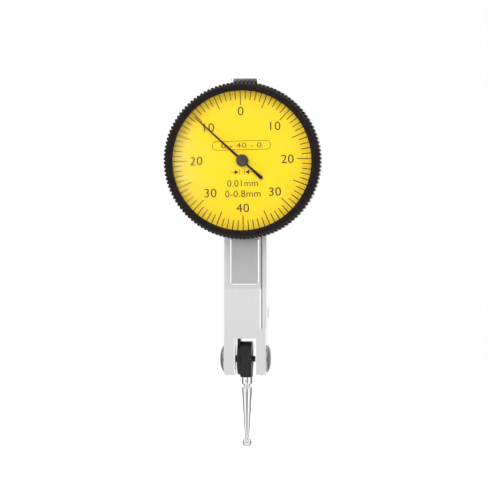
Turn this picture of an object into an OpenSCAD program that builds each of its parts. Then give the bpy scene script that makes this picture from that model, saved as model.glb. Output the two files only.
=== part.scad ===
// Lever-type dial test indicator, in millimetres, built as an assembly of separate pieces.
//
// Frame: the origin is the centre of the top dovetail's flat face. +Z points up out of that
// face, -Y points from the case towards the reader of the dial, and +X is the reader's right.
// The pieces are drawn at rest: the stylus hangs straight down and the pointer stands short of zero.

/* [Dial and bezel] */
// Depth of the dial's centre below the top dovetail's face
dial_drop = 16.9; // [16.8:0.1:17.1]
// Outside diameter of the toothed bezel
bezel_dia = 32; // [31.8:0.1:33]
// Number of grip teeth round the bezel
bezel_teeth = 120; // [80:4:140]
// Depth of the bezel's grip teeth
tooth_depth = 0.3; // [0.15:0.05:0.35]
// Diameter of the dial that shows through the bezel
window_dia = 28.3; // [27.6:0.1:28.4]
// How far the bezel's front face stands in front of the bar's centre plane
bezel_front = 12.8; // [12.7:0.1:13.4]
// Thickness of the crystal
crystal_t = 0.7; // [0.5:0.1:0.7]

/* [Pointer] */
// Angle of the pointer at rest, anticlockwise from the top of the dial
pointer_rest = 47.8; // [0:0.1:90]
// Length of the pointer from its hub to its tip
pointer_length = 13.3; // [11:0.1:13.6]
// Length of the pointer's tail
pointer_tail = 5.5; // [4:0.1:7]
// Diameter of the pointer's hub
pointer_hub_dia = 2.5; // [2.2:0.1:3]

/* [Bar and fork] */
// Width of the bar, cover plate included
bar_width = 8.75; // [8.6:0.05:9]
// Depth of the bar's back face behind its centre plane
bar_back = 4.0; // [4:0.1:4.4]
// Thickness of the side cover plate
cover_t = 0.93; // [0.8:0.01:0.95]
// Width of the gap between the fork's ears
fork_gap = 4.2; // [4.2:0.05:4.4]
// Distance from the pivot down to the fork's foot
ear_drop = 3.35; // [3.2:0.05:3.5]
// Diameter of the domed pivot screw heads
pivot_head_dia = 5.65; // [5:0.05:6]

/* [Dovetails] */
// Width of a dovetail across its flat face
dovetail_width = 5.9; // [5.6:0.1:6.2]
// Height of a dovetail above its shoulders
dovetail_height = 1.4; // [1.2:0.1:1.5]

/* [Stylus] */
// Depth of the stylus pivot below the top dovetail's face
pivot_drop = 57.4; // [57.3:0.1:57.6]
// Length from the pivot to the centre of the contact ball
stylus_length = 17.1; // [16:0.1:20]
// Diameter of the contact ball
ball_dia = 1.95; // [1.8:0.05:2.2]
// Diameter of the stylus at its collar
collar_dia = 2.25; // [2:0.05:2.4]

/* [Part to build] */
// Name of the piece to build on its own, or all of them

/* [Hidden] */
$fn = 64;

// Heights of the working axes
dial_z = -dial_drop;
pivot_z = -pivot_drop;
fork_top = pivot_z + 4.2;

// The bar: its sides, its front face and the height where the ground shoulders end
left_x = -4.35;
right_x = 4.2;
cover_out_x = left_x + bar_width;
cover_in_x = cover_out_x - cover_t;
cover_bottom = -51.1;
shoulder_y = -3.6;
shoulder_end = -43;
pad_end = -42.2;
relief_z = -32.95;
bar_top = -1.6;

// Broken edges: how far each one runs across the face and how deep it goes
edge_w = 0.12;
edge_d = 0.07;
seam_edge_w = 0.3;
dovetail_edge_w = 0.22;
dovetail_edge_d = 0.12;
corner = 0.6;
foot_z = pivot_z - ear_drop;
foot_corner = 0.35;

// The groove that sets the cover plate off from the bar's front
seam_w = 0.18;
seam_d = 0.4;
seam_x = cover_in_x - seam_w;

// The pocket that holds the movement, open to the right under the cover plate
pocket_left = -3;
pocket_front = -2.95;
pocket_back = 3.1;
pocket_top = -10;
pocket_bottom = -50.5;

// The round case
case_r = 14.5;
case_wall = 1;
case_floor_y = -4.8;
case_rim_y = -9.2;

// The bezel and what it carries
bezel_r = bezel_dia / 2;
window_r = window_dia / 2;
front_y = -bezel_front;
crystal_front_y = front_y + 0.5;
crystal_back_y = crystal_front_y + crystal_t;
crystal_r = 14.75;
dial_front_y = -10.3;
dial_back_y = -9.9;
bore_r = case_r + 0.06;
bezel_back_y = -6.6;
groove_y = -7.4;

// The gear train. Every gear has the same tooth pitch as a module of 0.2 gives.
gear_module = 0.2;
train_y = -1.2;
crown_teeth = 40;
centre_teeth = 10;
pinion_teeth = 12;
sector_teeth = 130;
crown_r = crown_teeth * gear_module / 2;
centre_r = centre_teeth * gear_module / 2;
pinion_r = pinion_teeth * gear_module / 2;
sector_r = sector_teeth * gear_module / 2;
sector_z = dial_z - pinion_r - sector_r;
mesh_y = train_y - crown_r;
pin_z = sector_z - 6.41;
pivot_r = 0.25;
cock_back = -2.75;
cock_front = -3.6;
jewel_r = 0.9;
jewel_t = 0.5;
running = 0.03;

// The lever's cheek, and the swivelling block beside it with its washer and stylus
cheek_left = -1.75;
cheek_right = -1.17;
holder_left = -1.14;
holder_right = 1.2;
holder_drop = 3.7;
washer_x = 0.9;
washer_t = 0.2;
stylus_x = 0.1;
stub_r = 0.6;

// Places of the screws
case_screw_z = [dial_z + 10.4, dial_z - 10.4];
cover_screw_spots = [[0.4, -5], [0.4, -48], [2.6, -27]];
plate_screw_r = 11.9;
post_angles = [45, 165, 285];
plate_y = -8.1;
plate_front_y = -8.8;

// Turns a flat outline in Y and Z into a solid between two X positions
module along_x(x0, x1) {
    translate([x0, 0, 0])
        rotate([90, 0, 90])
            linear_extrude(height = x1 - x0)
                children();
}

// Turns a flat outline in X and Z into a solid between two Y positions
module along_y(y0, y1) {
    translate([0, y1, 0])
        rotate([90, 0, 0])
            linear_extrude(height = y1 - y0)
                children();
}

// A round bar along X
module rod_x(x0, x1, r, y, z) {
    translate([x0, y, z])
        rotate([0, 90, 0])
            cylinder(h = x1 - x0, r = r);
}

// A round bar along Y
module rod_y(y0, y1, r, x, z) {
    translate([x, y1, z])
        rotate([90, 0, 0])
            cylinder(h = y1 - y0, r = r);
}

// A box between two corners
module block(low, high) {
    translate(low)
        cube([high[0] - low[0], high[1] - low[1], high[2] - low[2]]);
}

// A solid turned about the dial's axis from an outline of radius and Y
module turned_on_dial(outline) {
    translate([0, 0, dial_z])
        rotate([-90, 0, 0])
            rotate_extrude()
                polygon(outline);
}

// A flat ring
module flat_ring(outer, inner) {
    difference() {
        circle(r = outer);
        circle(r = inner);
    }
}

// A flat-headed screw with a slot, drawn along +Z from the face that its head sits on
module slotted_screw(head_r, head_h, shank_r, shank_h, slot_w) {
    difference() {
        union() {
            cylinder(h = head_h, r = head_r);
            translate([0, 0, -shank_h])
                cylinder(h = shank_h, r = shank_r);
        }
        translate([-head_r - 1, -slot_w / 2, head_h * 0.5])
            cube([2 * head_r + 2, slot_w, head_h]);
    }
}

// The flat teeth and hub of a small gear
module gear_outline(teeth, pitch_r, first) {
    circle(r = pitch_r - 0.24);
    for (i = [0 : teeth - 1]) {
        rotate(first + i * 360 / teeth)
            translate([pitch_r, 0])
                polygon([[-0.4, -0.15], [0.17, -0.055], [0.17, 0.055], [-0.4, 0.15]]);
    }
}

// A male dovetail's cross-section: its flat face is at height 0 and it widens upwards
module dovetail_section(depth_below) {
    half = dovetail_width / 2;
    neck = half - dovetail_height * tan(30);
    polygon([[half - dovetail_edge_w, 0], [-half + dovetail_edge_w, 0], [-half, -dovetail_edge_d],
        [-half, -dovetail_edge_d - 0.1], [-neck, -dovetail_height],
        [-neck, -dovetail_height - depth_below], [neck, -dovetail_height - depth_below],
        [neck, -dovetail_height], [half, -dovetail_edge_d - 0.1], [half, -dovetail_edge_d]]);
}

// The bar's outline seen from the side, down to a given height
module bar_side(low_z) {
    polygon([[shoulder_y, low_z], [bar_back, low_z], [bar_back, bar_top], [shoulder_y, bar_top]]);
}

// The fork's foot with its rounded corners, seen from the side
module foot_side() {
    c = foot_corner;
    polygon([[shoulder_y, foot_z + c], [shoulder_y + c * 0.3, foot_z + c * 0.3], [shoulder_y + c, foot_z],
        [bar_back - c, foot_z], [bar_back - c * 0.3, foot_z + c * 0.3], [bar_back, foot_z + c],
        [bar_back, fork_top], [shoulder_y, fork_top]]);
}

// What breaks an upright front edge whose metal lies to its right
module break_left_edge(x, z0, z1) {
    translate([x, shoulder_y, z0])
        linear_extrude(height = z1 - z0)
            polygon([[-0.5, -0.5], [edge_w, -0.5], [edge_w, 0], [0, edge_d], [-0.5, edge_d]]);
}

// What breaks an upright front edge whose metal lies to its left, over a given width
module break_right_edge(x, z0, z1, w) {
    translate([x, shoulder_y, z0])
        linear_extrude(height = z1 - z0)
            polygon([[-w, -0.5], [0.5, -0.5], [0.5, w * edge_d / edge_w], [0, w * edge_d / edge_w], [-w, 0]]);
}

// What rounds a left-hand corner of an outline, drawn with the corner at its origin
module left_corner() {
    polygon([[-0.5, -0.5], [corner, -0.5], [corner, 0], [corner * 0.3, corner * 0.3],
        [0, corner], [-0.5, corner]]);
}

// What rounds a right-hand corner of an outline, drawn with the corner at its origin
module right_corner() {
    polygon([[-corner, -0.5], [0.5, -0.5], [0.5, corner], [0, corner],
        [-corner * 0.3, corner * 0.3], [-corner, 0]]);
}

// What breaks the edges of the bar's front and of the two dovetails that show there
module broken_edges() {
    half = dovetail_width / 2;
    below = foot_z - 1;
    break_left_edge(left_x, below, 1);
    break_right_edge(-fork_gap / 2, below, fork_top, edge_w);
    break_left_edge(fork_gap / 2, below, fork_top);
    break_right_edge(right_x, below, cover_bottom, edge_w);
    break_right_edge(seam_x, cover_bottom, shoulder_end, seam_edge_w);
    // The lower end of the front dovetail
    along_x(-4, 4)
        translate([shoulder_y - dovetail_height, pad_end])
            polygon([[-0.5, -0.5], [dovetail_edge_d, -0.5], [dovetail_edge_d, 0], [0, dovetail_edge_w],
                [-0.5, dovetail_edge_w]]);
    along_y(-6, shoulder_y) {
        translate([-half, pad_end])
            left_corner();
        translate([half, pad_end])
            right_corner();
    }
    // The front end of the top dovetail
    translate([-half, shoulder_y, bar_top])
        linear_extrude(height = 2)
            left_corner();
    translate([half, shoulder_y, bar_top])
        linear_extrude(height = 2)
            right_corner();
}

// The three dovetails
module dovetails() {
    // The top dovetail runs front to back
    along_y(shoulder_y, bar_back)
        dovetail_section(0.5);
    // The front dovetail runs down from behind the case
    translate([0, shoulder_y - dovetail_height, pad_end])
        rotate([0, 0, 180])
            linear_extrude(height = -29 - pad_end)
                dovetail_section(0.5);
    // The rear dovetail runs down the back
    translate([0, bar_back + dovetail_height, -42])
        linear_extrude(height = 37)
            dovetail_section(0.5);
}

// The bar, with the pocket for the movement, the fork and the three dovetails
module body() {
    color([0.72, 0.72, 0.72])
        difference() {
            union() {
                along_x(left_x, right_x) {
                    bar_side(fork_top - 0.5);
                    foot_side();
                }
                dovetails();
            }
            broken_edges();
            // Groove beside the cover plate
            block([seam_x, -5, cover_bottom], [9, shoulder_y + seam_d, bar_top + 0.1]);
            // The top dovetail's front end leans back a little towards its foot
            along_x(-4, 4)
                polygon([[shoulder_y - 1, 0.1], [shoulder_y - 1, bar_top], [shoulder_y + 0.14, bar_top],
                    [shoulder_y, 0], [shoulder_y, 0.1]]);
            // The front dovetail's face is relieved where the bezel hangs over it
            block([-5, -6, relief_z], [5, shoulder_y - dovetail_height + 0.15, 0]);
            // Seat of the cover plate
            block([cover_in_x, -4.9, cover_bottom], [9, 9, 0.5]);
            // Pocket of the movement and its window into the round case
            block([pocket_left, pocket_front, pocket_bottom], [9, pocket_back, pocket_top]);
            block([pocket_left, -9, dial_z - 9.1], [9, 0, pocket_top]);
            // Passage of the lever's arm
            block([-2.05, -2.4, fork_top - 1], [-0.9, 2.2, pocket_bottom + 1]);
            // Gap of the fork
            block([-fork_gap / 2, -9, -70], [fork_gap / 2, 9, fork_top]);
            // Bores of the pivot screws
            rod_x(-9, 9, 0.8, 0, pivot_z);
            // Seats of the two jewels in the pocket's left wall
            rod_x(pocket_left - jewel_t, 0, jewel_r, train_y, dial_z);
            rod_x(pocket_left - jewel_t, 0, jewel_r, train_y, sector_z);
            // Tapped holes of the screws
            rod_x(pocket_left - 1, 0, 0.4, -2.9, dial_z + 3.6);
            rod_y(-9, -1.6, 0.6, 0, case_screw_z[0]);
            rod_y(-9, -2.8, 0.6, 0, case_screw_z[1]);
            for (spot = cover_screw_spots) {
                rod_x(cover_in_x - 0.9, 9, 0.5, spot[0], spot[1]);
            }
        }
}

// The round case in front of the bar, with a window for the gears and a groove for the wire
module dial_case() {
    color([0.6, 0.6, 0.61])
        difference() {
            union() {
                turned_on_dial([[0, shoulder_y], [case_r - 0.4, shoulder_y], [case_r, shoulder_y - 0.4],
                    [case_r, groove_y + 0.25], [case_r - 0.3, groove_y + 0.25],
                    [case_r - 0.3, groove_y - 0.25], [case_r, groove_y - 0.25], [case_r, case_rim_y],
                    [case_r - case_wall, case_rim_y], [case_r - case_wall, case_floor_y],
                    [0, case_floor_y]]);
                for (a = post_angles) {
                    post(a, 1.3, plate_y, case_floor_y);
                }
            }
            block([pocket_left, -9, dial_z - 9.1], [3.4, 0, pocket_top]);
            for (a = post_angles) {
                post(a, 0.5, -9, case_floor_y);
            }
            for (z = case_screw_z) {
                rod_y(-9, 0, 0.65, 0, z);
            }
            // The case fits round the front dovetail where that runs up behind it
            block([-3.1, -5.1, -40], [3.1, 0, -28.95]);
        }
}

// A post of the case at an angle round the dial, measured from the right
module post(a, r, y0, y1) {
    rod_y(y0, y1, r, plate_screw_r * cos(a), dial_z + plate_screw_r * sin(a));
}

// The screws that hold the case to the bar
module case_screws() {
    color([0.35, 0.35, 0.36])
        for (i = [0, 1]) {
            translate([0, case_floor_y, case_screw_z[i]])
                rotate([90, 0, 0])
                    slotted_screw(1.15, 0.5, 0.6, i == 0 ? 3 : 1.8, 0.3);
        }
}

// The plate that closes the pocket on the right
module side_cover() {
    color([0.7, 0.7, 0.7])
        difference() {
            along_x(cover_in_x, cover_out_x)
                bar_side(cover_bottom);
            break_right_edge(cover_out_x, cover_bottom - 1, 1, edge_w);
            for (spot = cover_screw_spots) {
                rod_x(0, 9, 0.55, spot[0], spot[1]);
                rod_x(cover_out_x - 0.45, 9, 1.05, spot[0], spot[1]);
            }
            for (z = [dial_z, sector_z]) {
                rod_x(cover_in_x - 1, cover_in_x + jewel_t, jewel_r, train_y, z);
            }
        }
}

// The screws of the side cover, sunk flush into it
module side_cover_screws() {
    color([0.35, 0.35, 0.36])
        for (spot = cover_screw_spots) {
            translate([cover_out_x - 0.45, spot[0], spot[1]])
                rotate([0, 90, 0])
                    slotted_screw(1.0, 0.42, 0.5, cover_t - 0.45 + 0.8, 0.3);
        }
}

// A domed pivot screw, drawn along +Z from the face it sits on
module pivot_screw(dome_h, shank_h) {
    r = pivot_head_dia / 2;
    difference() {
        rotate_extrude()
            polygon([[0, -shank_h - 0.45], [pivot_r, -shank_h - 0.45], [pivot_r, -shank_h],
                [0.8, -shank_h], [0.8, 0], [r, 0], [r, dome_h * 0.28], [r - 0.35, dome_h * 0.55],
                [r - 0.95, dome_h * 0.83], [1.05, dome_h], [0, dome_h]]);
        translate([-4, -0.3, dome_h * 0.5])
            cube([8, 0.6, 2]);
    }
}

// The pivot screw on the left
module pivot_screw_left() {
    color([0.66, 0.66, 0.66])
        translate([left_x, 0, pivot_z])
            rotate([0, -90, 0])
                pivot_screw(1, -2.08 - left_x);
}

// The pivot screw on the right
module pivot_screw_right() {
    color([0.66, 0.66, 0.66])
        translate([right_x, 0, pivot_z])
            rotate([0, 90, 0])
                pivot_screw(0.78, right_x - 2.08);
}

// A jewel: a flat ring with a fine bore
module jewel() {
    linear_extrude(height = jewel_t)
        flat_ring(jewel_r, pivot_r + running);
}

// The jewels of the gear train's three arbors
module jewel_bearings() {
    color([0.7, 0.1, 0.2]) {
        for (z = [dial_z, sector_z]) {
            translate([pocket_left - jewel_t, train_y, z])
                rotate([0, 90, 0])
                    jewel();
            translate([cover_in_x, train_y, z])
                rotate([0, 90, 0])
                    jewel();
        }
        for (y = [cock_back, plate_y]) {
            translate([0, y, dial_z])
                rotate([90, 0, 0])
                    jewel();
        }
    }
}

// The cock that carries the rear end of the pointer's arbor
module pinion_cock() {
    color([0.8, 0.66, 0.35])
        difference() {
            union() {
                block([pocket_left, cock_front, dial_z - 0.9], [0, cock_back, dial_z + 0.9]);
                rod_y(cock_front, cock_back, 1.15, 0, dial_z);
                block([pocket_left, cock_front, dial_z - 0.9], [pocket_left + 0.6, -2.1, dial_z + 4.6]);
            }
            rod_y(cock_front - 1, cock_back + 1, pivot_r + running, 0, dial_z);
            rod_y(cock_back - jewel_t, cock_back + 1, jewel_r, 0, dial_z);
            rod_x(-9, 9, 0.45, -2.9, dial_z + 3.6);
        }
}

// The screw of the cock
module cock_screws() {
    color([0.4, 0.4, 0.42])
        translate([pocket_left + 0.6, -2.9, dial_z + 3.6])
            rotate([0, 90, 0])
                slotted_screw(0.7, 0.4, 0.4, 1.5, 0.2);
}

// The plate across the case that carries the front end of the pointer's arbor
module movement_plate() {
    color([0.8, 0.66, 0.35])
        difference() {
            along_y(plate_front_y, plate_y)
                translate([0, dial_z])
                    circle(r = 13.4);
            rod_y(-9, 0, pivot_r + 0.3, 0, dial_z);
            rod_y(plate_y - jewel_t, 0, jewel_r, 0, dial_z);
            for (a = post_angles) {
                post(a, 0.55, -9, 0);
                post(a, 1.05, -9, plate_front_y + 0.35);
            }
        }
}

// The screws of the movement plate, sunk flush into it
module plate_screws() {
    color([0.4, 0.4, 0.42])
        for (a = post_angles) {
            translate([plate_screw_r * cos(a), plate_front_y + 0.35, dial_z + plate_screw_r * sin(a)])
                rotate([90, 0, 0])
                    slotted_screw(1, 0.33, 0.5, 2.4, 0.3);
        }
}

// The flat spiral hairspring that takes up the play of the gear train
module hairspring() {
    turns = 4;
    steps = 20;
    count = turns * steps;
    first_r = 0.95;
    pitch = 0.55;
    strip = 0.07;
    color([0.3, 0.35, 0.5])
        along_y(-7.3, -6.9)
            translate([0, dial_z])
                polygon(concat(
                    [for (i = [0 : count]) spiral_point(i * 360 / steps, first_r, pitch)],
                    [for (i = [count : -1 : 0]) spiral_point(i * 360 / steps, first_r + strip, pitch)]
                ));
}

// A point of a spiral
function spiral_point(a, r, pitch) =
    [(r + pitch * a / 360) * cos(a), (r + pitch * a / 360) * sin(a)];

// The stud that holds the hairspring's outer end to the movement plate
module hairspring_stud() {
    color([0.8, 0.66, 0.35])
        difference() {
            rod_y(plate_y, -6.7, 0.35, 3.18, dial_z);
            block([2.5, -7.32, dial_z - 1], [3.25, -6.88, dial_z + 1]);
        }
}

// The wire in the groove between the case and the bezel
module bezel_snap_ring() {
    color([0.5, 0.5, 0.5])
        difference() {
            turned_on_dial([[case_r - 0.3, groove_y - 0.18], [case_r + 0.22, groove_y - 0.18],
                [case_r + 0.22, groove_y + 0.18], [case_r - 0.3, groove_y + 0.18]]);
            block([-0.8, groove_y - 1, dial_z - 20], [0.8, groove_y + 1, dial_z]);
        }
}

// The lever: a flat cheek on the pivot axle with an arm up to the sector
module lever_arm() {
    color([0.08, 0.08, 0.08])
        difference() {
            along_x(cheek_left, cheek_right) {
                translate([0, pivot_z])
                    circle(r = 3.3);
                polygon([[-1.6, pivot_z + 2], [1.6, pivot_z + 2], [0.7, -50], [train_y + 0.4, pin_z],
                    [train_y - 0.4, pin_z], [-1.5, -50]]);
                translate([train_y, pin_z])
                    circle(r = 0.42);
            }
            rod_x(-9, 9, 0.6, 0, pivot_z);
            rod_x(-9, 9, 0.2, train_y, pin_z);
        }
}

// The axle that the lever turns on, with a collar that holds the swivel's washer
module pivot_axle() {
    color([0.1, 0.1, 0.1])
        difference() {
            union() {
                rod_x(-2.05, cheek_left, 0.7, 0, pivot_z);
                rod_x(cheek_left, 2.05, 0.6, 0, pivot_z);
                rod_x(washer_x + washer_t, washer_x + washer_t + 0.12, 0.95, 0, pivot_z);
            }
            rod_x(-3, -1.4, pivot_r + running, 0, pivot_z);
            rod_x(1.4, 3, pivot_r + running, 0, pivot_z);
        }
}

// The pin that the lever turns the sector by
module contact_pin() {
    color([0.7, 0.7, 0.72])
        rod_x(cheek_left, -0.15, 0.2, train_y, pin_z);
}

// The sprung washer that presses the stylus holder against the lever
module swivel_washer() {
    color([0.5, 0.5, 0.52])
        translate([washer_x, 0, pivot_z])
            rotate([0, 90, 0])
                linear_extrude(height = washer_t)
                    flat_ring(1.6, 0.6);
}

// The black block that holds the stylus and swivels on the lever's axle
module stylus_holder() {
    color([0.1, 0.1, 0.1])
        difference() {
            along_x(holder_left, holder_right) {
                intersection() {
                    translate([0, pivot_z])
                        circle(r = 3.6);
                    translate([-2.75, pivot_z - 4])
                        square([5.5, 8]);
                }
                translate([-2.3, pivot_z - holder_drop])
                    square([4.6, 3]);
            }
            rod_x(-9, 9, 0.65, 0, pivot_z);
            rod_x(washer_x - running, 9, 1.75, 0, pivot_z);
            translate([stylus_x, 0, pivot_z - holder_drop - 0.3])
                cylinder(h = holder_drop - 1.7, r = stub_r);
        }
}

// The tapered stylus with its collar and threaded stub
module stylus_shank() {
    r = collar_dia / 2;
    neck_r = 0.45;
    pin_r = 0.3;
    ball_top = stylus_length - ball_dia / 2 + 0.1;
    pin_end = stylus_length - 0.4;
    color([0.85, 0.85, 0.86])
        translate([stylus_x, 0, pivot_z])
            rotate([180, 0, 0])
                rotate_extrude()
                    polygon([[0, 2], [stub_r, 2], [stub_r, holder_drop], [r - 0.05, holder_drop],
                        [r, holder_drop + 0.05], [r, 5.15], [r - 0.12, 5.25], [0.62, 5.5], [r - 0.1, 5.85],
                        [neck_r, ball_top], [pin_r, ball_top], [pin_r, pin_end], [0, pin_end]]);
}

// The contact ball
module stylus_ball() {
    color([0.85, 0.85, 0.86])
        translate([stylus_x, 0, pivot_z - stylus_length])
            difference() {
                sphere(d = ball_dia);
                translate([0, 0, 0.4])
                    cylinder(h = 2, r = 0.3);
                translate([0, 0, ball_dia / 2 - 0.1])
                    cylinder(h = 2, r = 0.6);
            }
}

// The toothed sector, with its forked tail
module sector_gear() {
    color([0.8, 0.66, 0.35])
        difference() {
            along_x(-0.9, -0.2)
                translate([train_y, sector_z]) {
                    intersection() {
                        flat_ring(sector_r - 0.24, sector_r - 1.6);
                        polygon([[0, 0], [20 * sin(5.5), 20], [-20 * sin(14), 20]]);
                    }
                    polygon([[0.9, 0], [0.6, sector_r - 1], [-2.1, sector_r - 1], [-0.9, 0]]);
                    circle(r = 1.4);
                    polygon([[-0.48, -6.9], [0.48, -6.9], [0.9, 0], [-0.9, 0]]);
                    for (k = [-2 : 4]) {
                        rotate(90 + (k + 0.5) * 360 / sector_teeth)
                            translate([sector_r, 0])
                                polygon([[-0.4, -0.15], [0.17, -0.055], [0.17, 0.055], [-0.4, 0.15]]);
                    }
                }
            rod_x(-9, 9, 0.5, train_y, sector_z);
            // The fork of the tail, round the lever's pin
            block([-2, train_y - 0.24, pin_z - 2], [1, train_y + 0.24, pin_z + 0.45]);
        }
}

// An arbor along X between two jewels
module arbor(r, z) {
    rod_x(pocket_left + 0.1, cover_in_x - 0.1, r, train_y, z);
    rod_x(pocket_left - jewel_t + 0.05, cover_in_x + jewel_t - 0.05, pivot_r, train_y, z);
}

// The sector's arbor
module sector_arbor() {
    color([0.75, 0.75, 0.77])
        arbor(0.5, sector_z);
}

// The crown gear, whose teeth point towards the centre pinion
module crown_gear() {
    color([0.8, 0.66, 0.35])
        difference() {
            union() {
                along_x(1.25, 1.85)
                    translate([train_y, dial_z])
                        difference() {
                            circle(r = crown_r + 0.1);
                            for (a = [45 : 90 : 315]) {
                                rotate(a)
                                    translate([2.1, 0])
                                        circle(r = 0.75);
                            }
                        }
                for (i = [0 : crown_teeth - 1]) {
                    translate([0, train_y, dial_z])
                        rotate([(i + 0.5) * 360 / crown_teeth, 0, 0])
                            translate([0.88, crown_r - 0.45, -0.11])
                                cube([0.47, 0.5, 0.22]);
                }
            }
            rod_x(-9, 9, 0.4, train_y, dial_z);
        }
}

// The crown gear's pinion, turned by the sector
module crown_pinion() {
    color([0.75, 0.75, 0.77])
        difference() {
            along_x(-1.1, 0)
                translate([train_y, dial_z])
                    gear_outline(pinion_teeth, pinion_r, 0);
            rod_x(-9, 9, 0.4, train_y, dial_z);
        }
}

// The crown gear's arbor
module crown_arbor() {
    color([0.75, 0.75, 0.77])
        arbor(0.4, dial_z);
}

// The arbor that carries the pointer
module centre_arbor() {
    color([0.75, 0.75, 0.77]) {
        rod_y(-11, cock_back - 0.1, pivot_r, 0, dial_z);
        rod_y(-7.9, cock_front - 0.15, 0.4, 0, dial_z);
    }
}

// The centre pinion, turned by the crown gear
module centre_pinion() {
    color([0.75, 0.75, 0.77])
        difference() {
            along_y(mesh_y - 0.5, mesh_y + 0.5)
                translate([0, dial_z])
                    gear_outline(centre_teeth, centre_r, 0);
            rod_y(-9, 0, 0.4, 0, dial_z);
        }
}

// The collet that the hairspring winds from
module hairspring_collet() {
    color([0.8, 0.66, 0.35])
        along_y(-7.5, -6.7)
            translate([0, dial_z])
                flat_ring(0.88, 0.4);
}

// The pointer, with its tail and the hole for the arbor
module pointer() {
    tail_r = 0.375;
    tail_z = tail_r - pointer_tail;
    color([0.12, 0.08, 0.06])
        difference() {
            along_y(-10.95, -10.75)
                translate([0, dial_z])
                    rotate(pointer_rest) {
                        polygon([[-0.28, 0], [0.28, 0], [0.1, pointer_length], [-0.1, pointer_length]]);
                        polygon([[-0.3, tail_z], [0.3, tail_z], [0.2, 0], [-0.2, 0]]);
                        translate([0, tail_z])
                            circle(r = tail_r);
                        circle(r = 0.7);
                    }
            rod_y(-12, -9, pivot_r, 0, dial_z);
        }
}

// The round cap of the pointer's hub
module pointer_hub() {
    color([0.2, 0.17, 0.2])
        difference() {
            translate([0, -10.95, dial_z])
                rotate([90, 0, 0])
                    rotate_extrude()
                        polygon([[0, 0], [pointer_hub_dia / 2, 0], [pointer_hub_dia / 2, 0.25],
                            [pointer_hub_dia / 2 - 0.1, 0.35], [0, 0.35]]);
            rod_y(-11, -9, pivot_r, 0, dial_z);
        }
}

// One tooth of the bezel, as a list of points
function tooth_points(i) =
    let (step = 360 / bezel_teeth, a = i * step, root = bezel_r - tooth_depth)
    [bezel_point(root, a), bezel_point(root, a + step * 0.25),
        bezel_point(bezel_r, a + step * 0.45), bezel_point(bezel_r, a + step * 0.8)];
function bezel_point(r, a) = [r * cos(a), r * sin(a)];

// The toothed bezel, which turns on the case and carries the crystal and the dial
module bezel() {
    smooth_r = bezel_r - 0.5;
    color([0.05, 0.05, 0.05]) {
        difference() {
            union() {
                along_y(front_y + 1.1, bezel_back_y - 0.5)
                    translate([0, dial_z])
                        polygon([for (i = [0 : bezel_teeth - 1]) each tooth_points(i)]);
                turned_on_dial([[0, front_y + 0.1], [smooth_r - 0.25, front_y + 0.1],
                    [smooth_r, front_y + 0.35], [smooth_r, bezel_back_y - 0.1],
                    [smooth_r - 0.2, bezel_back_y], [0, bezel_back_y]]);
                turned_on_dial([[0, front_y], [smooth_r - 0.35, front_y],
                    [smooth_r - 0.25, front_y + 0.1], [0, front_y + 0.1]]);
            }
            // The window, its bevel and the seats behind it
            turned_on_dial([[0, front_y - 1], [window_r + 0.25, front_y - 1], [window_r + 0.25, front_y],
                [window_r, front_y + 0.2], [window_r, crystal_front_y], [crystal_r, crystal_front_y],
                [crystal_r, dial_back_y + 0.4], [bore_r, dial_back_y + 0.5], [bore_r, groove_y - 0.25],
                [bore_r + 0.3, groove_y - 0.25], [bore_r + 0.3, groove_y + 0.25],
                [bore_r, groove_y + 0.25], [bore_r, bezel_back_y + 1], [0, bezel_back_y + 1]]);
        }
    }
}

// The clear crystal
module crystal() {
    color([0.9, 0.95, 1, 0.3])
        along_y(crystal_front_y, crystal_back_y)
            translate([0, dial_z])
                circle(r = crystal_r);
}

// The gasket ring between the crystal and the dial
module crystal_gasket() {
    color([0.06, 0.06, 0.06])
        along_y(crystal_back_y, dial_front_y)
            translate([0, dial_z])
                flat_ring(crystal_r, window_r + 0.1);
}

// The dial, with a hole for the pointer's arbor
module dial_face() {
    color([0.98, 0.86, 0.1])
        along_y(dial_front_y, dial_back_y)
            translate([0, dial_z])
                flat_ring(crystal_r, 0.9);
}

// The ring that holds the dial in the bezel from behind
module dial_ring() {
    color([0.3, 0.3, 0.3])
        along_y(dial_back_y, dial_back_y + 0.4)
            translate([0, dial_z])
                flat_ring(crystal_r, 13.2);
}

body();
dial_case();
case_screws();
side_cover();
side_cover_screws();
pivot_screw_left();
pivot_screw_right();
jewel_bearings();
pinion_cock();
cock_screws();
movement_plate();
plate_screws();
hairspring();
hairspring_stud();
bezel_snap_ring();
lever_arm();
pivot_axle();
contact_pin();
swivel_washer();
stylus_holder();
stylus_shank();
stylus_ball();
sector_gear();
sector_arbor();
crown_gear();
crown_pinion();
crown_arbor();
centre_arbor();
centre_pinion();
hairspring_collet();
pointer();
pointer_hub();
bezel();
crystal();
crystal_gasket();
dial_face();
dial_ring();
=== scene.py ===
"""Visual model of a lever-type dial test indicator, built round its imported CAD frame.

The camera looks at the dial from slightly to its right. Every piece is placed from the boxes
of the CAD nodes and rides on the body that carries it. Lengths are in metres and angles in
radians, unless a name ends in mm or deg.
"""
import logging
import math
from collections.abc import Callable, Iterable, Sequence
from dataclasses import dataclass, field
from enum import Enum
from typing import ClassVar

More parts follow.
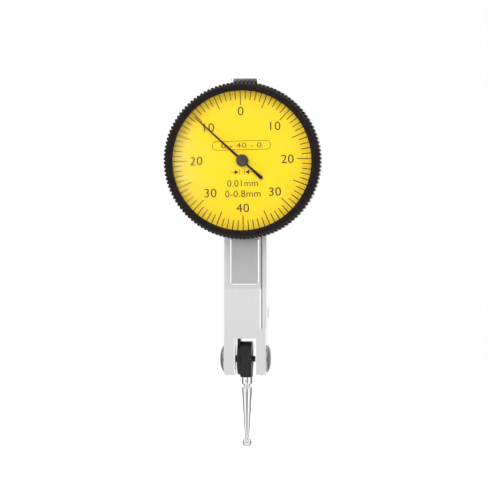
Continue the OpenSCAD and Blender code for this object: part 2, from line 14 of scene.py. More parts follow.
import bmesh
import bpy
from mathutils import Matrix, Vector


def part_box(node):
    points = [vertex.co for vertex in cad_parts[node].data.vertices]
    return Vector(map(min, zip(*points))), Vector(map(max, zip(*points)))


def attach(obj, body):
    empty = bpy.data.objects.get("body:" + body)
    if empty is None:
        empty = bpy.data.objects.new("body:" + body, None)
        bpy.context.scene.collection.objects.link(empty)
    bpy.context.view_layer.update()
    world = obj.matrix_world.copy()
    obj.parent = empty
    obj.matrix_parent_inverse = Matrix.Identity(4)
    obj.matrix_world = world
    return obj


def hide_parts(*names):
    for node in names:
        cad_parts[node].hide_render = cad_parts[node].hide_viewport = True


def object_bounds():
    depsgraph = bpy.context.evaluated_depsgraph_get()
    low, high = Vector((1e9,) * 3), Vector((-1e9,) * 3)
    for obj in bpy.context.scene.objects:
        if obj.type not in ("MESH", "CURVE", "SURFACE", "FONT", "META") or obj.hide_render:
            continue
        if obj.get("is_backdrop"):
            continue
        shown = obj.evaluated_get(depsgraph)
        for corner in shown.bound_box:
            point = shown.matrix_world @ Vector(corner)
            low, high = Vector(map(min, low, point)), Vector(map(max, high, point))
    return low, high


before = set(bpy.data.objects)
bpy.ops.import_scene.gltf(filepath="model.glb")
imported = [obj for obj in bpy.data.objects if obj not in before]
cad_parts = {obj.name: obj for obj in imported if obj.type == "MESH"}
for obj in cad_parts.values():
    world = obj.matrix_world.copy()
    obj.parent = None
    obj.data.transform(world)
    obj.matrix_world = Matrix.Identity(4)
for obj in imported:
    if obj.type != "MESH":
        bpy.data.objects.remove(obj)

LOG = logging.getLogger("dial_indicator")
MM = 0.001
FULL_TURN = 2.0 * math.pi
Colour = tuple[float, float, float]
RadiusAndHeight = tuple[float, float]
Span = tuple[float, float]
Socket = bpy.types.NodeSocket
# A radius, the millimetres added to it, a height, and the millimetres added to that
Row = tuple[float, float, float, float]
# Gives the point for a radius, an angle and a height
Placement = Callable[[float, float, float], Vector]
WHOLE: Span = (0.0, 1.0)
# The ranges of noise that the finishes stretch
CONTRAST: Span = (0.3, 0.7)
PATCHES: Span = (0.35, 0.7)
# How far the bezel's window lies inside the dial's rim
WINDOW_INSET = 0.60 * MM


class Body(Enum):
    """The rigid bodies that built pieces ride on."""

    STYLUS = "stylus"
    POINTER = "pointer"
    BEZEL = "bezel"


class Mark(Enum):
    """The kinds of line round the dial, with their lengths in metres."""

    SHORT = 1.85 * MM
    LONG = 2.95 * MM


class Nodes:
    """A node tree, with short ways to add and join its nodes."""

    def __init__(self, tree: bpy.types.NodeTree) -> None:
        """Work on a tree."""
        self.tree = tree

    def add(
        self, kind: str, inputs: Sequence[object] | dict[str | int, object] = (), **settings: object
    ) -> bpy.types.Node:
        """Add a node.

        Args:
            kind: The node's type.
            inputs: Plain values or sockets for its inputs, in order or by key.
            **settings: Properties to set on it.

        Returns:
            The new node.
        """
        node = self.tree.nodes.new(kind)
        for key, value in settings.items():
            setattr(node, key, value)
        self.feed(node, inputs if isinstance(inputs, dict) else dict(enumerate(inputs)))
        return node

    def feed(self, node: bpy.types.Node, inputs: dict[str | int, object]) -> None:
        """Give a node's inputs their values, which are plain ones or sockets."""
        for key, value in inputs.items():
            if isinstance(value, Socket):
                self.tree.links.new(value, node.inputs[key])
            else:
                node.inputs[key].default_value = value

    def math(self, operation: str, *values: Socket | float) -> Socket:
        """Combine numbers, or sockets that give them."""
        return self.add("ShaderNodeMath", values, operation=operation).outputs["Value"]

    def split(self, vector: Socket) -> bpy.types.bpy_prop_collection:
        """The three parts of a vector."""
        return self.add("ShaderNodeSeparateXYZ", [vector]).outputs

    def remap(self, value: Socket, source: Span, target: Span = WHOLE) -> Socket:
        """Stretch a range of values onto another, held at its ends."""
        return self.add("ShaderNodeMapRange", (value, *source, *target)).outputs["Result"]

    def ramp(self, value: Socket, stops: Sequence[tuple[float, float]]) -> Socket:
        """Turn a value into a grey level.

        Args:
            value: The value, from 0 to 1.
            stops: Positions and their levels.

        Returns:
            The grey level.
        """
        node = self.add("ShaderNodeValToRGB", [value])
        elements = node.color_ramp.elements
        while len(elements) < len(stops):
            elements.new(0.5)
        for element, (position, level) in zip(elements, stops):
            element.position = position
            element.color = (*grey(level), 1.0)
        return node.outputs["Color"]

    def blend(self, amount: Socket, low: Colour | Socket, high: Colour | Socket) -> Socket:
        """Mix two colours by a value.

        Args:
            amount: 0 gives the first colour and 1 the second.
            low: A colour, or a socket that gives one.
            high: A colour, or a socket that gives one.

        Returns:
            The mixed colour.
        """
        node = self.add("ShaderNodeMix", {"Factor": amount}, data_type="RGBA")
        ends = [i for i, one in enumerate(node.inputs) if one.type == "RGBA"]
        for i, colour in zip(ends, (low, high)):
            self.feed(node, {i: colour if isinstance(colour, Socket) else (*colour, 1.0)})
        return next(one for one in node.outputs if one.type == "RGBA")


class Recipe(Nodes):
    """A material's node tree, with short ways to add what the finishes share."""

    def __init__(self, name: str) -> None:
        """Start an empty material.

        Args:
            name: The material's name.
        """
        self.material = bpy.data.materials.new(name)
        self.material.use_nodes = True
        super().__init__(self.material.node_tree)
        self.shader = self.tree.nodes["Principled BSDF"]
        self.output = self.tree.nodes["Material Output"]
        self.place = self.add("ShaderNodeTexCoord").outputs["Object"]

    def fix(self, name: str, value: object) -> None:
        """Give one of the shader's own inputs a plain value or a socket."""
        self.feed(self.shader, {name: value})

    def grain(
        self, scale: float, stretch: Colour = (1.0, 1.0, 1.0), detail: float = 3.0
    ) -> Socket:
        """Noise in the piece's own coordinates.

        Args:
            scale: Cells per metre.
            stretch: How much finer the cells are along each axis.
            detail: Octaves of the noise.

        Returns:
            A value from 0 to 1.
        """
        mapping = self.add("ShaderNodeMapping", {"Vector": self.place, "Scale": stretch})
        cells = {"Vector": mapping.outputs["Vector"], "Scale": scale, "Detail": detail}
        return self.add("ShaderNodeTexNoise", cells).outputs["Fac"]

    def along(self, axis: int) -> Socket:
        """Where a point is along one axis of the frame."""
        return self.split(self.place)[axis]

    def bump(self, height: Socket, depth: float) -> None:
        """Raise the surface by a value.

        Args:
            height: The value, from 0 to 1.
            depth: How far 1 stands above 0.
        """
        inputs = {"Strength": 1.0, "Distance": depth, "Height": height}
        self.fix("Normal", self.add("ShaderNodeBump", inputs).outputs["Normal"])


def grey(level: float) -> Colour:
    """A grey of one level."""
    return (level, level, level)


def darker(colour: Colour, share: float) -> Colour:
    """A colour of which only a share is kept, the rest being black."""
    return (colour[0] * share, colour[1] * share, colour[2] * share)


@dataclass(frozen=True)
class BrushedMetal:
    """Bare metal with fine lines along one axis and a faint cloudiness.

    Attributes:
        name: The material's name.
        base: Its colour.
        rough: Its middle roughness.
        lines: How much finer the grain is along each axis.
        depth: Depth of the lines.
    """

    name: str
    base: Colour
    rough: float
    lines: Colour = (1.0, 1.0, 0.06)
    depth: float = 0.8e-6

    def make(self) -> bpy.types.Material:
        """Build the material."""
        recipe = Recipe(self.name)
        recipe.fix("Metallic", 1.0)
        lines = recipe.grain(9000.0, self.lines, 4.0)
        clouds = recipe.grain(350.0, detail=4.0)
        lined = recipe.blend(recipe.remap(lines, CONTRAST), darker(self.base, 0.93), self.base)
        tone = recipe.remap(clouds, PATCHES, (0.0, 0.35))
        recipe.fix("Base Color", recipe.blend(tone, lined, darker(self.base, 0.88)))
        rough = (self.rough - 0.05, self.rough + 0.06)
        recipe.fix("Roughness", recipe.remap(lines, CONTRAST, rough))
        recipe.bump(lines, self.depth)
        return recipe.material


@dataclass(frozen=True)
class SatinBar:
    """The bar's satin chrome: a darker ground finish above a height, and a paler one below it.

    Attributes:
        ground: Colour of the ground dovetail.
        shoulder: Colour of the ground shoulders beside it, painted lighter than the dovetail as
            painted light.
        pale: Colour of the lower bar and fork.
        border: Height of the border between them.
        seam_x: Where the middle of the groove beside the cover plate is.
        seam_w: Width of that groove.
        front_y: Where the bar's front face is.
        edge_reach: How far from the middle the polished edges, painted bright as a painted
            highlight, may lie.
        fork_top: The height below which no edge is polished and painted bright.
        top_face: The height above which the top dovetail is polished.
        foot: Height of the fork's foot.
        polish: Roughness of the polished faces.
    """

    ground: Colour = (0.66, 0.66, 0.66)
    shoulder: Colour = (0.92, 0.92, 0.92)
    pale: Colour = (0.96, 0.96, 0.96)
    border: float = -43.0 * MM
    seam_x: float = 3.38 * MM
    seam_w: float = 0.18 * MM
    front_y: float = -3.6 * MM
    edge_reach: float = 4.0 * MM
    fork_top: float = -60.3 * MM
    top_face: float = -1.65 * MM
    foot: float = -62.0 * MM
    polish: float = 0.12

    def make(self) -> bpy.types.Material:
        """Build the material."""
        recipe = Recipe("satin_chrome_bar")
        recipe.fix("Metallic", 1.0)
        fine = recipe.grain(16000.0, (1.0, 1.0, 0.5), 4.0)
        clouds = recipe.grain(260.0, detail=5.0)
        height = recipe.along(2)
        # Painted light: the set-back ground shoulders are painted lighter than the dovetail in
        # front of them
        behind = recipe.remap(
            recipe.along(1), (self.front_y - 1.0 * MM, self.front_y - 0.4 * MM)
        )
        ground = recipe.blend(behind, self.ground, self.shoulder)
        step = recipe.remap(height, (self.border - 0.1 * MM, self.border + 0.1 * MM))
        two_tone = recipe.blend(step, self.pale, ground)
        # Painted shade: the bar is painted darker towards the fork's foot
        shade_toward_foot = recipe.remap(height, (self.foot, self.border), (0.22, 0.0))
        shaded_toward_foot = recipe.blend(shade_toward_foot, two_tone, darker(self.pale, 0.6))
        specks = recipe.remap(fine, (0.35, 0.65), (0.0, 0.14))
        speckled = recipe.blend(specks, shaded_toward_foot, darker(self.ground, 0.6))
        haze = recipe.remap(clouds, (0.4, 0.7), (0.0, 0.10))
        clouded = recipe.blend(haze, speckled, grey(0.9))
        edge, side = self.highlight_and_polish_masks(recipe)
        # The broken edges are polished, and painted near white as a painted highlight
        edge_highlighted = recipe.blend(edge, clouded, grey(0.97))
        recipe.fix("Base Color", recipe.blend(self.seam_mask(recipe), edge_highlighted, grey(0.02)))
        satin = recipe.remap(fine, CONTRAST, (0.46, 0.58))
        top = recipe.remap(height, (self.top_face - 0.1 * MM, self.top_face + 0.1 * MM))
        finish = {0: recipe.math("MAXIMUM", side, top), 2: satin, 3: self.polish}
        rough = recipe.add("ShaderNodeMix", finish, data_type="FLOAT")
        recipe.fix("Roughness", rough.outputs[0])
        recipe.bump(fine, 0.5e-6)
        return recipe.material

    def highlight_and_polish_masks(self, recipe: Recipe) -> tuple[Socket, Socket]:
        """Find the broken edges, which face along none of the frame's axes, and the bar's sides.
        The broken edges are polished and painted bright as a painted highlight.

        Args:
            recipe: The material to add the nodes to.

        Returns:
            A value that is 1 on broken edges, and one that is 1 on them and on faces along X.
        """
        normal = recipe.add("ShaderNodeNewGeometry").outputs["True Normal"]
        size = recipe.add("ShaderNodeVectorMath", [normal], operation="ABSOLUTE")
        parts = recipe.split(size.outputs["Vector"])
        largest = recipe.math("MAXIMUM", recipe.math("MAXIMUM", parts[0], parts[1]), parts[2])
        oblique = recipe.remap(largest, (0.93, 0.985), (1.0, 0.0))
        inner = recipe.math("COMPARE", recipe.along(0), 0.0, self.edge_reach)
        above = recipe.remap(
            recipe.along(2), (self.fork_top - 0.1 * MM, self.fork_top + 0.1 * MM)
        )
        edge = recipe.math("MULTIPLY", oblique, recipe.math("MULTIPLY", above, inner))
        side = recipe.remap(parts[0], (0.90, 0.97))
        return edge, recipe.math("MAXIMUM", edge, side)

    def seam_mask(self, recipe: Recipe) -> Socket:
        """Find the inside of the groove beside the cover plate.

        Args:
            recipe: The material to add the nodes to.

        Returns:
            1 in the groove and 0 elsewhere.
        """
        across = recipe.math("COMPARE", recipe.along(0), self.seam_x, 0.5 * self.seam_w)
        deep = recipe.remap(
            recipe.along(1), (self.front_y + 0.01 * MM, self.front_y + 0.12 * MM)
        )
        return recipe.math("MULTIPLY", across, deep)


@dataclass(frozen=True)
class BlackFinish:
    """Blackened metal: a satin skin with a fine tooth and slightly browner patches.

    Attributes:
        name: The material's name.
        base: Its colour.
        rough: Its middle roughness.
        shine: How strongly it mirrors.
    """

    name: str
    base: Colour
    rough: float
    shine: float = 0.25

    def make(self) -> bpy.types.Material:
        """Build the material."""
        recipe = Recipe(self.name)
        recipe.fix("Specular IOR Level", self.shine)
        tooth = recipe.grain(14000.0, detail=4.0)
        patches = recipe.grain(700.0, detail=3.0)
        warm = (self.base[0] * 1.7, self.base[1] * 1.45, self.base[2] * 1.3)
        browner = recipe.remap(patches, PATCHES, (0.0, 0.6))
        recipe.fix("Base Color", recipe.blend(browner, self.base, warm))
        rough = (self.rough - 0.06, self.rough + 0.08)
        recipe.fix("Roughness", recipe.remap(tooth, CONTRAST, rough))
        recipe.bump(tooth, 1.0e-6)
        return recipe.material


@dataclass(frozen=True)
class DialPaint:
    """The dial's yellow print: deepest in the middle, faintly uneven and slightly glossy, with
    painted shade that makes it slightly darker and paler at the rim.

    Attributes:
        centre: The dial's centre.
        radius: Its radius.
        middle: The yellow in the middle.
        outer: The yellow at the rim, slightly darker and paler as painted shade.
        patch: The yellow of the paler patches.
    """

    centre: Vector
    radius: float
    middle: Colour = (0.70, 0.475, 0.007)
    outer: Colour = (0.68, 0.475, 0.010)
    patch: Colour = (0.71, 0.50, 0.020)

    def make(self) -> bpy.types.Material:
        """Build the material."""
        recipe = Recipe("dial_yellow")
        recipe.fix("Specular IOR Level", 0.15)
        centred = (recipe.place, self.centre)
        offset = recipe.add("ShaderNodeVectorMath", centred, operation="DISTANCE")
        reach = recipe.remap(offset.outputs["Value"], (0.45 * self.radius, self.radius))
        wide = recipe.grain(220.0, detail=2.0)
        fine = recipe.grain(9000.0, detail=3.0)
        # Painted shade: the yellow turns slightly darker and paler towards the rim
        yellow = recipe.blend(reach, self.middle, self.outer)
        patchy = recipe.remap(wide, (0.4, 0.75), (0.0, 0.25))
        recipe.fix("Base Color", recipe.blend(patchy, yellow, self.patch))
        recipe.fix("Roughness", recipe.remap(fine, CONTRAST, (0.36, 0.5)))
        recipe.bump(fine, 0.4e-6)
        return recipe.material


@dataclass(frozen=True)
class Ink:
    """Printing ink, slightly uneven where it lies thin.

    Attributes:
        name: The material's name.
        base: Its colour.
    """

    name: str
    base: Colour

    def make(self) -> bpy.types.Material:
        """Build the material."""
        recipe = Recipe(self.name)
        cover = recipe.grain(12000.0, detail=3.0)
        thin = (self.base[0] + 0.012, self.base[1] + 0.008, self.base[2] + 0.002)
        recipe.fix("Base Color", recipe.blend(recipe.remap(cover, PATCHES), self.base, thin))
        recipe.fix("Roughness", recipe.remap(cover, CONTRAST, (0.4, 0.6)))
        recipe.bump(cover, 0.5e-6)
        return recipe.material


@dataclass(frozen=True)
class ClearCrystal:
    """A thin clear pane: it lets the dial through and mirrors the room at its rim."""

    def make(self) -> bpy.types.Material:
        """Build the material."""
        recipe = Recipe("clear_crystal")
        smear = recipe.grain(500.0, detail=3.0)
        recipe.fix("Base Color", (0.95, 0.97, 1.0, 1.0))
        recipe.fix("Metallic", 1.0)
        recipe.fix("Roughness", recipe.remap(smear, CONTRAST, (0.09, 0.13)))
        clear = recipe.add("ShaderNodeBsdfTransparent", [(0.985, 0.985, 0.98, 1.0)])
        edge = recipe.add("ShaderNodeFresnel", {"IOR": 1.45}).outputs["Fac"]
        # Only the outer skin mirrors, so that the dial still shows at a slant
        inside = recipe.add("ShaderNodeNewGeometry").outputs["Backfacing"]
        gloss = recipe.math("MULTIPLY", edge, recipe.math("SUBTRACT", 1.0, inside))
        layers = (gloss, clear.outputs["BSDF"], recipe.shader.outputs["BSDF"])
        mix = recipe.add("ShaderNodeMixShader", layers)
        recipe.feed(recipe.output, {"Surface": mix.outputs["Shader"]})
        return recipe.material


@dataclass(frozen=True)
class Ruby:
    """The jewels' clear red stone."""

    def make(self) -> bpy.types.Material:
        """Build the material."""
        recipe = Recipe("ruby_jewel")
        recipe.fix("Coat Weight", 0.6)
        depth = recipe.grain(3000.0, detail=2.0)
        recipe.fix("Base Color", recipe.blend(depth, (0.5, 0.01, 0.05), (0.8, 0.05, 0.14)))
        recipe.fix("Roughness", recipe.remap(depth, CONTRAST, (0.08, 0.16)))
        return recipe.material


@dataclass
class Finishes:
    """The finishes of this indicator, each made once.

    Attributes:
        made: The materials by name.
    """

    made: dict[str, bpy.types.Material] = field(default_factory=dict)

    def __post_init__(self) -> None:
        """Make every material."""
        low, high = corners_of(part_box("dial_face"))
        shiny = (1.0, 1.0, 0.3)
        recipes = {
            "bar": SatinBar(),
            # The bar's bevels are polished, and painted near white as a painted highlight
            "edge": BrushedMetal("polished_bar_edge_painted_highlight", grey(0.97), 0.22, shiny, 0.2e-6),
            "case": BrushedMetal("case_satin_steel", (0.56, 0.56, 0.57), 0.38),
            "ball": BrushedMetal("ball_steel", (0.80, 0.80, 0.81), 0.12, shiny, 0.2e-6),
            "bright": BrushedMetal("polished_steel", (0.95, 0.95, 0.955), 0.09, shiny, 0.2e-6),
            "screw": BrushedMetal("turned_screw_steel", grey(0.56), 0.22, shiny),
            "dark_screw": BrushedMetal("dark_screw_steel", (0.30, 0.30, 0.31), 0.34, shiny),
            "gear_steel": BrushedMetal("gear_steel", (0.66, 0.66, 0.68), 0.24, shiny),
            "brass": BrushedMetal("machined_brass", (0.80, 0.58, 0.24), 0.30, (1.0, 0.1, 1.0)),
            "blued": BrushedMetal("blued_spring", (0.10, 0.16, 0.42), 0.25, shiny),
            "bezel": BlackFinish("black_anodised", (0.0060, 0.0034, 0.0030), 0.30, 0.17),
            "oxide": BlackFinish("black_oxide_steel", grey(0.0090), 0.34, 0.28),
            "gasket": BlackFinish("black_gasket", grey(0.010), 0.7),
            "needle": BlackFinish("needle_black", (0.010, 0.005, 0.004), 0.35, 0.2),
            "hub": BlackFinish("hub_plum_grey", (0.025, 0.021, 0.017), 0.32, 0.35),
            "dial": DialPaint((low + high) / 2, (high.x - low.x) / 2),
            "ink": Ink("dial_black_ink", (0.006, 0.004, 0.002)),
            "crystal": ClearCrystal(),
            "ruby": Ruby(),
        }
        self.made = {name: recipe.make() for name, recipe in recipes.items()}

    def dress(self, piece: bpy.types.Object, finish: str) -> None:
        """Give a piece one finish all over.

        Args:
            piece: The piece to dress.
            finish: The finish's name.
        """
        slots = piece.material_slots
        if slots:
            for one in slots:
                one.material = self.made[finish]
        else:
            piece.data.materials.append(self.made[finish])


def smooth_mesh(shape: bmesh.types.BMesh, sharp_deg: float) -> None:
    """Shade a mesh smooth apart from its sharp edges.

    Args:
        shape: The mesh.
        sharp_deg: The angle past which an edge stays sharp.
    """
    bmesh.ops.recalc_face_normals(shape, faces=shape.faces)
    for face in shape.faces:
        face.smooth = True
    limit = math.radians(sharp_deg)
    for edge in shape.edges:
        edge.smooth = len(edge.link_faces) == 2 and edge.calc_face_angle(0.0) < limit


def in_scene(name: str, shape: bmesh.types.BMesh) -> bpy.types.Object:
    """Put a finished mesh in the scene.

    Args:
        name: The object's name.
        shape: The mesh, which is used up.

    Returns:
        The new object.
    """
    mesh = bpy.data.meshes.new(name)
    shape.to_mesh(mesh)
    shape.free()
    piece = bpy.data.objects.new(name, mesh)
    bpy.context.scene.collection.objects.link(piece)
    return piece


@dataclass
class Assembly:
    """A sub-assembly, whose pieces ride on one body.

    Attributes:
        finishes: The finishes to dress its pieces with.
    """

    body: ClassVar[Body]
    finishes: Finishes

    def piece(
        self, name: str, shape: bmesh.types.BMesh, slot: str, finish: str, sharp_deg: float = 35.0
    ) -> bpy.types.Object:
        """Turn a finished mesh into a dressed piece.

        Args:
            name: The piece's name.
            shape: The mesh, which is used up.
            slot: The record's material slot it stands for, which is not used.
            finish: The finish's name.
            sharp_deg: The angle past which an edge stays sharp.

        Returns:
            The new object.
        """
        smooth_mesh(shape, sharp_deg)
        piece = in_scene(name, shape)
        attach(piece, self.body.value)
        self.finishes.dress(piece, finish)
        LOG.info("built %s", name)
        return piece


def turned(
    outline: Sequence[RadiusAndHeight],
    steps: int,
    place: Placement,
    swell: Callable[[int, float], float] | None = None,
    closed: bool = False,
) -> bmesh.types.BMesh:
    """Turn an outline about an axis.

    Args:
        outline: Points of radius and height.
        steps: How many steps make the full turn.
        place: Gives the point for a radius, an angle and a height.
        swell: Adds to a point's radius, from its row and angle.
        closed: Whether the outline's last point joins its first.

    Returns:
        The turned mesh. An outline that starts or ends on the axis is closed there.
    """
    shape = bmesh.new()
    rows: list[list[bmesh.types.BMVert]] = []
    for row, (radius, height) in enumerate(outline):
        if radius <= 0.0:
            rows.append([shape.verts.new(place(0.0, 0.0, height))])
            continue
        ring = []
        for step in range(steps):
            angle = FULL_TURN * step / steps
            extra = swell(row, angle) if swell else 0.0
            ring.append(shape.verts.new(place(radius + extra, angle, height)))
        rows.append(ring)
    pairs = list(zip(rows, rows[1:]))
    if closed:
        pairs.append((rows[-1], rows[0]))
    for upper, lower in pairs:
        for step in range(steps):
            near, far = (step, step + 1), (step + 1, step)
            corners = [upper[k % len(upper)] for k in near] + [lower[k % len(lower)] for k in far]
            shape.faces.new(list(dict.fromkeys(corners)))
    return shape


def leant(across: float, up: float, lean_deg: float) -> tuple[float, float]:
    """A place right and up of a middle, turned anticlockwise about it."""
    lean = math.radians(lean_deg)
    return (
        across * math.cos(lean) - up * math.sin(lean), across * math.sin(lean) + up * math.cos(lean)
    )


def about_y(centre: Vector) -> Placement:
    """Placement about the dial's axis: the angle starts at the right, and height is Y."""
    return lambda radius, angle, height: Vector(
        (centre.x + radius * math.cos(angle), height, centre.z + radius * math.sin(angle))
    )


def about_z(centre: Vector) -> Placement:
    """Placement about an upright axis: height is Z."""
    return lambda radius, angle, height: Vector(
        (centre.x + radius * math.cos(angle), centre.y + radius * math.sin(angle), height)
    )


def outlined(rows: Iterable[Row]) -> list[RadiusAndHeight]:
    """An outline's points, with the millimetres in its rows added."""
    return [(radius + out * MM, height + up * MM) for radius, out, height, up in rows]


def corners_of(box: Sequence[Sequence[float]]) -> tuple[Vector, Vector]:
    """The low and high corners of a box as vectors."""
    return Vector(box[0]), Vector(box[1])


def slab(shape: bmesh.types.BMesh, outline: Iterable[Vector], depth: Vector) -> None:
    """Add a flat plate to a mesh.

    Args:
        shape: The mesh to add to.
        outline: The plate's front outline.
        depth: The step from its front to its back.
    """
    front = [shape.verts.new(point) for point in outline]
    back = [shape.verts.new(vert.co + depth) for vert in front]
    shape.faces.new(front)
    shape.faces.new(list(reversed(back)))
    count = len(front)
    for i in range(count):
        shape.faces.new([front[i], back[i], back[(i + 1) % count], front[(i + 1) % count]])


@dataclass
class NodeDresser:
    """Gives CAD nodes their finishes and breaks their edges."""

    finishes: Finishes

    def dress(self, nodes: Iterable[str], finish: str, edge: float = 0.0, rim: str = "") -> None:
        """Dress CAD nodes.

        Args:
            nodes: The nodes' names.
            finish: The finish to give them.
            edge: Width of the broken edges, or 0 for none.
            rim: The finish of the broken edges, where it differs.
        """
        for name in nodes:
            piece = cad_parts[name]
            self.finishes.dress(piece, finish)
            if edge > 0.0:
                bevel = self.break_edges(piece, edge)
                if rim:
                    piece.data.materials.append(self.finishes.made[rim])
                    bevel.material = len(piece.data.materials) - 1
            LOG.info("dressed %s with %s", name, finish)

    @staticmethod
    def break_edges(piece: bpy.types.Object, width: float) -> bpy.types.Modifier:
        """Round a CAD piece's edges with modifiers.

        Args:
            piece: The CAD piece.
            width: Width of the broken edges.

        Returns:
            The modifier that rounds them.
        """
        weld = piece.modifiers.new("join_seams", "WELD")
        weld.merge_threshold = 0.002 * MM
        bevel = piece.modifiers.new("broken_edges", "BEVEL")
        bevel.limit_method = "ANGLE"
        bevel.angle_limit = math.radians(28.0)
        bevel.width = width
        bevel.segments = 3
        bevel.use_clamp_overlap = True
        bevel.harden_normals = True
        bevel.miter_outer = "MITER_ARC"
        return bevel


@dataclass
class Bezel(Assembly):
    """The toothed black bezel with its bevelled window.

    Attributes:
        teeth: Teeth round the rim.
        steps_per_tooth: Mesh steps in one tooth.
        tooth_height: Height of the teeth.
    """

    body = Body.BEZEL
    teeth: int = 120
    steps_per_tooth: int = 8
    tooth_height: float = 0.30 * MM

    def __post_init__(self) -> None:
        """Read the bezel's sizes from its CAD node."""
        self.low, self.high = corners_of(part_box("bezel"))
        self.centre = (self.low + self.high) / 2
        self.outer = (self.high.x - self.low.x) / 2
        dial_low, dial_high = corners_of(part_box("dial_face"))
        self.seat = (dial_high.x - dial_low.x) / 2
        self.window = self.seat - WINDOW_INSET

    def tooth(self, angle: float) -> float:
        """Height of the grip at an angle, from 0 in a valley to 1 on a tooth.

        Args:
            angle: The angle round the bezel.

        Returns:
            The share of a tooth's full height.
        """
        phase = (angle * self.teeth / FULL_TURN) % 1.0
        foot, rise, fall = 0.12, 0.38, 0.88
        if phase < rise:
            return 0.0 if phase < foot else (phase - foot) / (rise - foot)
        if phase < fall - foot:
            return 1.0
        return max(0.0, (1.0 - phase) / (1.0 - fall + foot))

    def build(self) -> None:
        """Build the bezel."""
        front, back, window, seat = self.low.y, self.high.y, self.window, self.seat
        smooth = self.outer - 0.5 * MM
        root = self.outer - self.tooth_height
        # From the window round the outside to the skirt, with the share of a tooth's height
        rows = [
            (window, 0.0, front, 0.50, 0.0), (window, 0.0, front, 0.24, 0.0),
            (window, 0.04, front, 0.17, 0.0), (window, 0.22, front, 0.02, 0.0),
            (window, 0.30, front, 0.0, 0.0), (smooth, -0.42, front, 0.0, 0.0),
            (smooth, -0.30, front, 0.015, 0.0), (smooth, -0.16, front, 0.07, 0.0),
            (smooth, -0.05, front, 0.18, 0.0), (smooth, 0.0, front, 0.34, 0.0),
            (smooth, 0.0, front, 1.00, 0.0), (smooth, 0.04, front, 1.08, 0.15),
            (root, -0.06, front, 1.20, 0.75), (root, 0.0, front, 1.34, 1.0),
            (root, 0.0, back, -0.95, 1.0), (root, -0.08, back, -0.72, 0.7),
            (smooth, 0.0, back, -0.62, 0.0), (smooth, 0.0, back, -0.22, 0.0),
            (smooth, -0.08, back, -0.06, 0.0), (smooth, -0.22, back, 0.0, 0.0),
            (seat, -0.10, back, 0.0, 0.0), (seat, -0.18, back, -0.08, 0.0),
            (seat, -0.18, front, 3.10, 0.0), (seat, 0.02, front, 3.10, 0.0),
            (seat, 0.02, front, 0.50, 0.0),
        ]
        shape = turned(
            outlined(row[:4] for row in rows),
            self.teeth * self.steps_per_tooth,
            about_y(self.centre),
            lambda row, angle: rows[row][4] * self.tooth_height * self.tooth(angle),
            closed=True,
        )
        piece = self.piece("bezel_ring", shape, "bezel_black", "bezel", 32.0)
        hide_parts("bezel")


@dataclass
class Crystal(Assembly):
    """The slightly domed crystal.

    Attributes:
        dome: How far its middle stands in front of its rim.
    """

    body = Body.BEZEL
    dome: float = 0.28 * MM

    def build(self) -> None:
        """Build the crystal."""
        low, high = corners_of(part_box("crystal"))
        radius = (high.x - low.x) / 2 - 0.02 * MM
        rings = 14
        shares = [i / rings for i in range(rings + 1)]
        dome_r = radius - 0.7 * MM
        front, back = (
            [(dome_r * t, y - self.dome * (1.0 - t**2)) for t in shares] for y in (low.y, high.y)
        )
        rim = outlined([
            (radius, -0.05, low.y, 0.0), (radius, 0.0, low.y, 0.05), (radius, 0.0, high.y, 0.0),
        ])
        shape = turned(front + rim + back[::-1], 128, about_y((low + high) / 2))
        piece = self.piece("crystal_dome", shape, "crystal", "crystal", 30.0)
        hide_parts("crystal")


